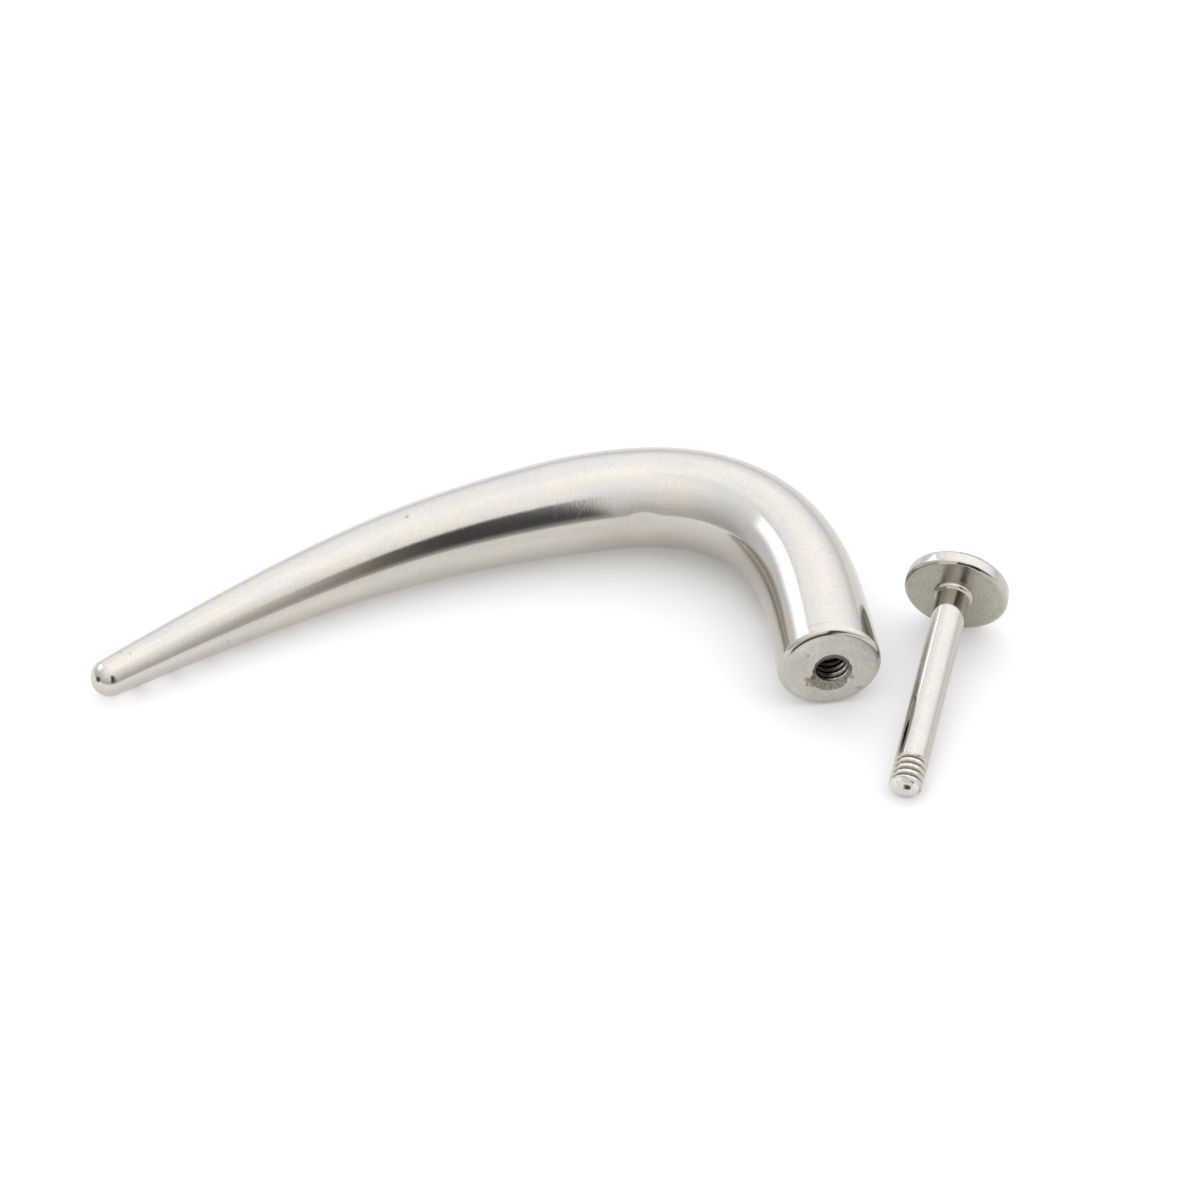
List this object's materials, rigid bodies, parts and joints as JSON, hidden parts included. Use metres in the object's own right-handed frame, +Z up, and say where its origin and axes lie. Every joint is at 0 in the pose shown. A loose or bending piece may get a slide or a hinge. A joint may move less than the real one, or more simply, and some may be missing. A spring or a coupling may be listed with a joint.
{
  "type": "claw labret",
  "caption": "Lip stud in two unscrewed pieces: a curved, tapered steel claw with a threaded flat end, and a flat-disc stud with a smooth post and a short thread.",
  "frame": {"origin": "middle of the outer box of the two lying pieces, on the table that they lie on", "axes": "+X along the pair's length, from the claw's tip towards the stud; +Y away from the picture's viewer; +Z up from the table"},
  "size_m": [0.0434, 0.0206, 0.0051],
  "materials": {
    "claw_steel": "polished stainless steel with a fine satin haze",
    "stud_steel": "mirror-polished stainless steel"
  },
  "bodies": {
    "root": {"claw": "claw_steel", "labret_stud": "stud_steel"}
  },
  "joints": []
}
